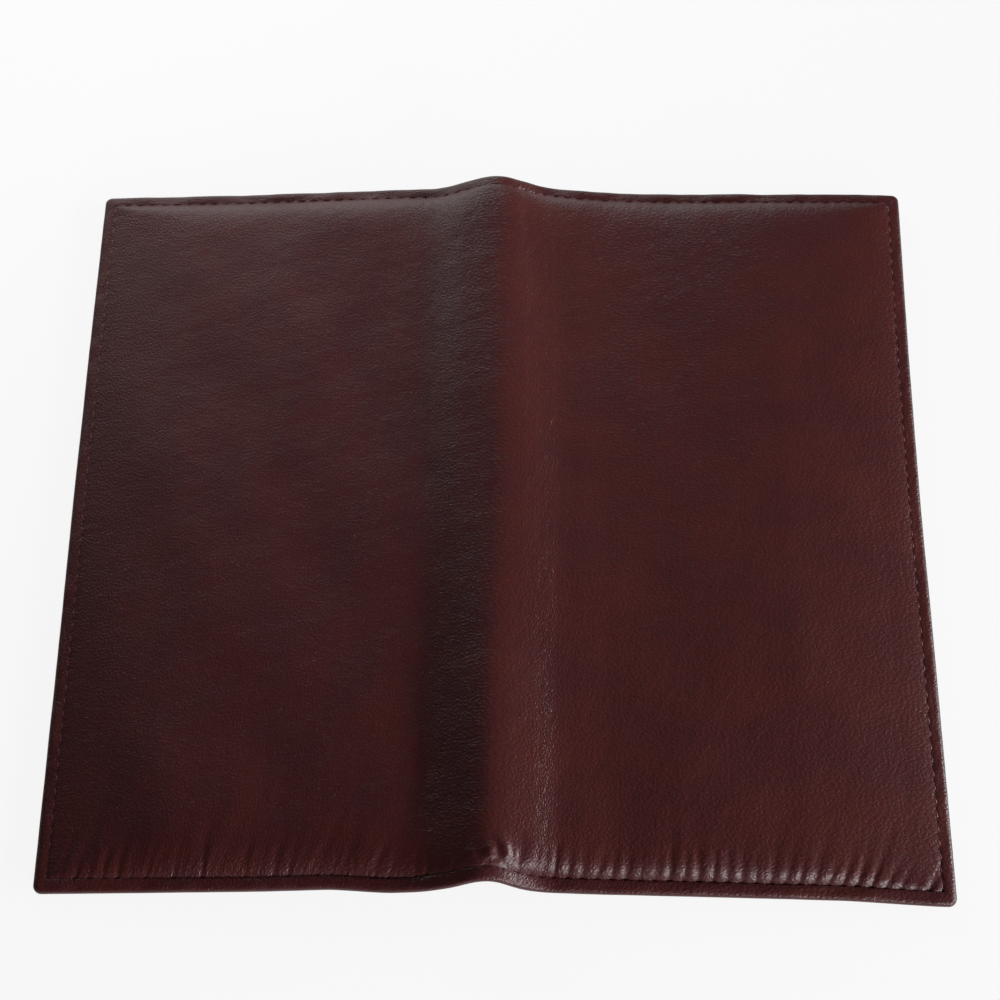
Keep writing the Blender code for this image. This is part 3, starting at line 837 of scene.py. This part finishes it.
# Boards
# A thin board of bonded leather fibre stiffens each panel, glued to the lining's back under the pad.
board_low = 2.72 * mm
board_high = 3.22 * mm
bonded_board = fibre_material("bonded_leather_board", (0.36, 0.27, 0.19), (0.22, 0.15, 0.10), 1400.0, 0.85,
                              0.05 * mm, (1.0, 0.35, 1.0))
for name, node, side, bodies in (("back_stiffener", "back_board", -1, back_bend),
                                 ("front_stiffener", "front_board", 1, front_bend)):
    board = slab(name, *node_stations(node, side, 6 * mm), board_low, board_high)
    fit(board, bodies, bonded_board, "board", node)

# Lining
# Dark woven cloth, cut in one width and taut over the whole inside. It is shorter than the leather round
# the spine, so it stops the wallet from opening further. Its edges are caught under the turned leather.
lining_low = 2.25 * mm
lining_high = 2.65 * mm
weave_pitch = 0.55 * mm


def woven_cloth():
    """Shader group: a plain weave on the flat pattern, as a height."""
    tree, entry, result = node_group(
        "woven_cloth", "ShaderNodeTree",
        (("Pattern", "Vector", None), ("Threads per Metre", "Float", 1 / weave_pitch)),
        (("Height", "Float"),))
    scaled = vectors(tree, "SCALE", {0: (entry, "Pattern"), "Scale": (entry, "Threads per Metre")})
    parts = add_node(tree, "ShaderNodeSeparateXYZ", {"Vector": scaled})
    crossing = add_node(tree, "ShaderNodeTexChecker", {"Vector": scaled, "Scale": 1.0})
    angles = [maths(tree, "MULTIPLY", (parts, axis), math.pi) for axis in "XY"]
    warp, weft = (maths(tree, "ABSOLUTE", maths(tree, "SINE", angle)) for angle in angles)
    over = maths(tree, "MULTIPLY", warp, (crossing, "Fac"))
    under = maths(tree, "MULTIPLY", weft, maths(tree, "SUBTRACT", 1.0, (crossing, "Fac")))
    feed(result, {"Height": maths(tree, "ADD", over, under)})
    return tree


def tinted_material(name, colour, inputs, brightest, relief, height_of):
    """A material in one colour, lighter on its relief and darker in its hollows: painted light and shade."""
    material, tree, shader = finish(name, inputs)
    height = height_of(tree)
    # painted shade in the relief's hollows and painted light on its tops
    shade = add_node(tree, "ShaderNodeMapRange", {"Value": height, "To Min": 0.55, "To Max": brightest})
    bump = add_node(tree, "ShaderNodeBump", {"Height": height, "Distance": relief})
    feed(shader, {"Base Color": vectors(tree, "SCALE", {0: colour, "Scale": (shade, "Result")}),
                  "Normal": (bump, "Normal")})
    return material


def weave_height(tree):
    """The relief of the cloth, whose threads follow the flat pattern."""
    pattern = add_node(tree, "ShaderNodeUVMap", uv_map="flat_pattern")
    weave = add_node(tree, "ShaderNodeGroup", node_tree=woven_cloth())
    feed(weave, {"Pattern": (pattern, "UV")})
    return weave, "Height"


lining_cloth = tinted_material("dark_lining_cloth", (0.030, 0.012, 0.013),
                               {"Roughness": 0.82, "Specular IOR Level": 0.25, "Sheen Weight": 0.15},
                               1.25, 0.08 * mm, weave_height)
# the cloth lies above the line that the profile follows, so over the crest it is longer than that line
crest_extra = (back_slope - front_slope) * (lining_low + lining_high) / 2
lining_inset = half_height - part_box("back_lining")[1].y
lining_length = 2 * (half_height - lining_inset)
lining_along = stations(-lining_length / 2, lining_length / 2, 4 * mm)
for name, start, end, extra, bodies, nodes in (
        ("back_lining_cloth", back_edge_u + lining_inset, back_cut_u, 0.0, back_bend, ["back_lining"]),
        ("spine_lining_cloth", back_cut_u, front_cut_u, crest_extra, crest_bend,
         ["spine_lining_back", "spine_lining_front"]),
        ("front_lining_cloth", front_cut_u, front_edge_u - lining_inset, 0.0, front_bend, ["front_lining"])):
    across = stations(start, end, 1.5 * mm, (0.0,))
    cloth = slab(name, across, lining_along, lining_low, lining_high, 0.1 * mm)
    fit(cloth, bodies, lining_cloth, "lining", *nodes)

# Ticket pocket and note pocket
# One full-height piece of smooth leather on each panel, caught in the perimeter seam on three sides.
# Its mouth looks to the spine, turned in and marked with a crease line.
pocket_leather = leather_material("smooth_pocket_leather", (0.056, 0.0105, 0.0105), (0.049, 0.0092, 0.0100),
                                  1500.0, 0.025 * mm, 0.42)
pocket_low = 1.66 * mm
pocket_high = 2.06 * mm
mouth_turn = 6.0 * mm
mouth_line = 2.2 * mm
# lines of points that the turned mouth and its crease line need, counted from the mouth
mouth_stations = np.array([0.5, 1.0, 1.5, 1.9, 2.2, 2.5, 2.9, 3.5, 4.5, 5.3, 6.0]) * mm


def crease_line(distance, depth):
    """The line that is pressed into a pocket beside its mouth."""
    return depth * np.exp(-((distance - mouth_line) / (0.28 * mm)) ** 2)


def mouth(distance):
    """How far a pocket's face stands proud near its mouth."""
    turned = 0.12 * mm * (1 - smooth(mouth_turn - 0.8 * mm, mouth_turn, distance))
    return turned - crease_line(distance, 0.14 * mm)


def uneven(u, y, seed=31):
    """The slight waviness of a pocket's leather."""
    return 0.07 * mm * waves(u, y, 38 * mm, seed)


for node, side, body in (("ticket_pocket", -1, "back_panel"), ("note_pocket", 1, "front_panel")):
    across, along = node_stations(node, side, 2.5 * mm)
    edge = across[-1] if side < 0 else across[0]
    pocket = slab(node + "_leather", np.union1d(across, edge + side * mouth_stations), along,
                  lambda u, y: pocket_low + uneven(u, y) - mouth(np.abs(u - edge)),
                  lambda u, y: pocket_high + uneven(u, y))
    fit(pocket, body, pocket_leather, "pocket_leather", node)

# Passport pocket
# A shorter piece of the same leather lies over the ticket pocket. It opens towards the head.
passport_low = 0.85 * mm
passport_high = 1.30 * mm
across, along = node_stations("passport_pocket", -1, 2.5 * mm)
passport_mouth = along[-1]
passport_pocket = slab("passport_pocket_leather", across, np.union1d(along, passport_mouth - mouth_stations),
                       lambda u, y: passport_low + uneven(u, y, 32) * 0.5 - mouth(passport_mouth - y),
                       lambda u, y: passport_high + uneven(u, y, 32) * 0.5)
fit(passport_pocket, "back_panel", pocket_leather, "pocket_leather", "passport_pocket")

# Passport pocket's side seam
# Waxed burgundy thread in a lockstitch, which holds the pocket's inner side to the pocket behind it.
# The stitches lie on the face that looks into the wallet, and dive into the leather at their needle holes.
thread_diameter = 0.62 * mm
stitch_length = 3.0 * mm
stitch_dive = 0.60 * mm


def stitch_tree():
    """Geometry Nodes tree: one stitch on each edge of a seam line."""
    tree, entry, result = node_group(
        "lockstitch", "GeometryNodeTree",
        (("Seam", "Geometry", None), ("Thread Diameter", "Float", thread_diameter),
         ("Stitch Length", "Float", stitch_length), ("Dive", "Float", stitch_dive), ("Slant", "Float", 0.10),
         ("Seed", "Int", 7), ("Thread", "Material", None)), (("Stitches", "Geometry"),))
    ends = add_node(tree, "GeometryNodeInputMeshEdgeVertices")
    capture = add_node(tree, "GeometryNodeCaptureAttribute", {"Geometry": (entry, "Seam")}, domain="EDGE")
    capture.capture_items.new("VECTOR", "Direction")
    along = vectors(tree, "SUBTRACT", {0: (ends, "Position 2"), 1: (ends, "Position 1")})
    feed(capture, {"Direction": along})
    middles = add_node(tree, "GeometryNodeMeshToPoints", {"Mesh": (capture, "Geometry")}, mode="EDGES")
    # each stitch lies along its edge, upright, with a slant of its own
    turn = add_node(tree, "FunctionNodeAlignRotationToVector", {"Vector": (capture, "Direction")}, axis="X")
    upright = add_node(tree, "FunctionNodeAlignRotationToVector",
                       {"Rotation": (turn, "Rotation"), "Vector": (0, 0, 1)}, axis="Z", pivot_axis="X")
    wander = add_node(tree, "FunctionNodeRandomValue",
                      {"Min": (entry, "Slant"), "Max": maths(tree, "MULTIPLY", (entry, "Slant"), 1.6),
                       "Seed": (entry, "Seed")}, data_type="FLOAT")
    euler = add_node(tree, "ShaderNodeCombineXYZ", {"Z": (wander, "Value")})
    slanted = add_node(tree, "FunctionNodeEulerToRotation", {"Euler": (euler, "Vector")})
    spin = add_node(tree, "FunctionNodeRotateRotation",
                    {"Rotation": (upright, "Rotation"), "Rotate By": (slanted, "Rotation")},
                    rotation_space="LOCAL")
    # the thread rises out of one needle hole and dives into the next
    half_length = maths(tree, "MULTIPLY", (entry, "Stitch Length"), 0.5)
    low, high = (maths(tree, "MULTIPLY", (entry, "Dive"), share) for share in (-1.0, 0.45))
    bows = {}
    for label, share, level in (("Start", -1.0, low), ("Start Handle", -0.8, high),
                                ("End Handle", 0.8, high), ("End", 1.0, low)):
        corner = add_node(tree, "ShaderNodeCombineXYZ",
                          {"X": maths(tree, "MULTIPLY", half_length, share), "Z": level})
        bows[label] = (corner, "Vector")
    arc = add_node(tree, "GeometryNodeCurvePrimitiveBezierSegment", mode="POSITION")
    feed(arc, {"Resolution": 7, **bows})
    section = add_node(tree, "GeometryNodeCurvePrimitiveCircle",
                       {"Resolution": 8, "Radius": maths(tree, "MULTIPLY", (entry, "Thread Diameter"), 0.5)})
    tube = add_node(tree, "GeometryNodeCurveToMesh",
                    {"Curve": (arc, "Curve"), "Profile Curve": (section, "Curve"), "Fill Caps": True})
    copies = add_node(tree, "GeometryNodeInstanceOnPoints",
                      {"Points": (middles, "Points"), "Instance": (tube, "Mesh"),
                       "Rotation": (spin, "Rotation")})
    plain = add_node(tree, "GeometryNodeRealizeInstances", {"Geometry": (copies, "Instances")})
    paint = add_node(tree, "GeometryNodeSetMaterial",
                     {"Geometry": (plain, "Geometry"), "Material": (entry, "Thread")})
    feed(result, {"Stitches": (paint, "Geometry")})
    return tree


lockstitch = stitch_tree()


def strand_height(tree):
    """The relief of fine strands, read from the place of each stitch."""
    place = add_node(tree, "ShaderNodeTexCoord")
    strands = add_node(tree, "ShaderNodeTexNoise",
                       {"Vector": (place, "Object"), "Scale": 2600.0, "Detail": 2.0})
    return strands, "Fac"


burgundy_thread = tinted_material("burgundy_waxed_thread", (0.085, 0.0130, 0.0165), {"Roughness": 0.5},
                                  1.35, 0.05 * mm, strand_height)


def sewn(name, holes, seed, downward=False):
    """A row of stitches between neighbouring needle holes, as one plain mesh."""
    line = bpy.data.meshes.new(name + "_line")
    line.from_pydata(holes.tolist(), [(i, i + 1) for i in range(len(holes) - 1)], [])
    seam = placed(name + "_line", line)
    modifier = seam.modifiers.new("stitches", "NODES")
    modifier.node_group = lockstitch
    named = {item.name: item.identifier for item in lockstitch.interface.items_tree
             if item.in_out == "INPUT"}
    modifier[named["Thread"]] = burgundy_thread
    modifier[named["Seed"]] = seed
    if downward:
        modifier[named["Dive"]] = -stitch_dive
    mesh = bpy.data.meshes.new_from_object(seam.evaluated_get(bpy.context.evaluated_depsgraph_get()))
    mesh.name = name
    bpy.data.objects.remove(seam)
    bpy.data.meshes.remove(line)
    mesh.shade_smooth()
    return placed(name, mesh)


def side_seam(name, node, body, side, level, seed):
    """A straight row of stitches along a pocket's inner side."""
    low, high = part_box(node)
    count = round((high.y - low.y) / pitch_along)
    u = round_profile((low.x + high.x) / 2, side)
    holes = place_points(u, np.linspace(low.y, high.y, count + 1), level)
    fit(sewn(name, holes, seed, downward=True), body, None, "thread", node)


side_seam("passport_pocket_stitches", "passport_pocket_thread", "back_panel", -1, 0.80 * mm, 61)

# Card slots
# Five bands of pocket leather, one above the other. Each mouth lies over the lower end of the band above it,
# and the last band goes down to the tail. A side seam closes them towards the spine.
slot_mouth_level = 0.64 * mm
slot_foot_level = 1.18 * mm
last_foot_level = 0.78 * mm
slot_overlap = 3.0 * mm
for number in range(1, 6):
    node = f"card_slot_{number}"
    low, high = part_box(node)
    foot, foot_level = (low.y, last_foot_level) if number == 5 else (low.y - slot_overlap, slot_foot_level)
    across = node_stations(node, 1, 3 * mm)[0]
    along = np.union1d(stations(foot, high.y, 1.5 * mm), high.y - mouth_stations[:8])

    def band_face(y, thickness, thinned):
        """Level of a face of the band, which leans from its mouth to its foot. Its thickness is in mm."""
        share = np.minimum((high.y - y) / (high.y - low.y), 1.0)
        leaning = slot_mouth_level + (foot_level - slot_mouth_level) * share
        return leaning + (thickness - thinned * share) * mm

    band = slab(node + "_leather", across, along,
                lambda u, y: band_face(y, 0.0, 0.0) + crease_line(high.y - y, 0.12 * mm),
                lambda u, y: band_face(y, 0.48, 0.14), 0.16 * mm)
    fit(band, "front_panel", pocket_leather, "pocket_leather", node)
side_seam("card_slot_stitches", "card_slot_thread", "front_panel", 1, 0.62 * mm, 71)

# Perimeter seam
# One thread of nearly 4 mm pitch goes through the turned edge and every layer. Outside it lies in the groove
# that it has pulled, inside on the turned edge.
seam_level = 3.14 * mm
tail_sink = 0.30 * mm
inside_level = -0.02 * mm


def seam_part(name, start, end, side, bodies, seed, nodes):
    """The perimeter seam's stitches whose middles lie between two places round the profile."""
    middles = (across_holes[:-1] + across_holes[1:]) / 2
    chosen = np.flatnonzero((middles > start) & (middles < end))
    row = across_holes[chosen[0]:chosen[-1] + 2]
    rows = [np.stack([row, np.full(len(row), y)], axis=-1) for y in (-seam_end, seam_end)]
    names = [name + "_tail", name + "_head"]
    if side:
        tail, head = (path[::side] for path in rows)
        fore_u = seam_right if side > 0 else seam_left
        fore = np.stack([np.full(len(along_holes), fore_u), along_holes], axis=-1)
        rows = [np.concatenate([tail, fore[1:-1], head[::-1]])]
        names = [name]
    for number, (part_name, path) in enumerate(zip(names, rows)):
        u, y = path.T
        outside_level = seam_level - tail_sink * smooth(-100 * mm, -seam_end, y)
        outside = sewn(part_name, place_points(u, y, outside_level), seed + number)
        fit(outside, bodies, None, "thread", *nodes[number])
        inside_holes = place_points(u, y, inside_level)
        inside = sewn(part_name + "_inside", inside_holes, seed + number + 5, downward=True)
        fit(inside, bodies, None, "thread")


seam_part("back_seam_stitches", back_edge_u, back_cut_u, -1, back_bend, 31, [["back_seam_thread"]])
seam_part("spine_seam_stitches", back_cut_u, front_cut_u, 0, crest_bend, 41,
          [[f"spine_thread_{half}_{end}" for half in ("back", "front")] for end in ("tail", "head")])
seam_part("front_seam_stitches", front_cut_u, front_edge_u, 1, front_bend, 51, [["front_seam_thread"]])
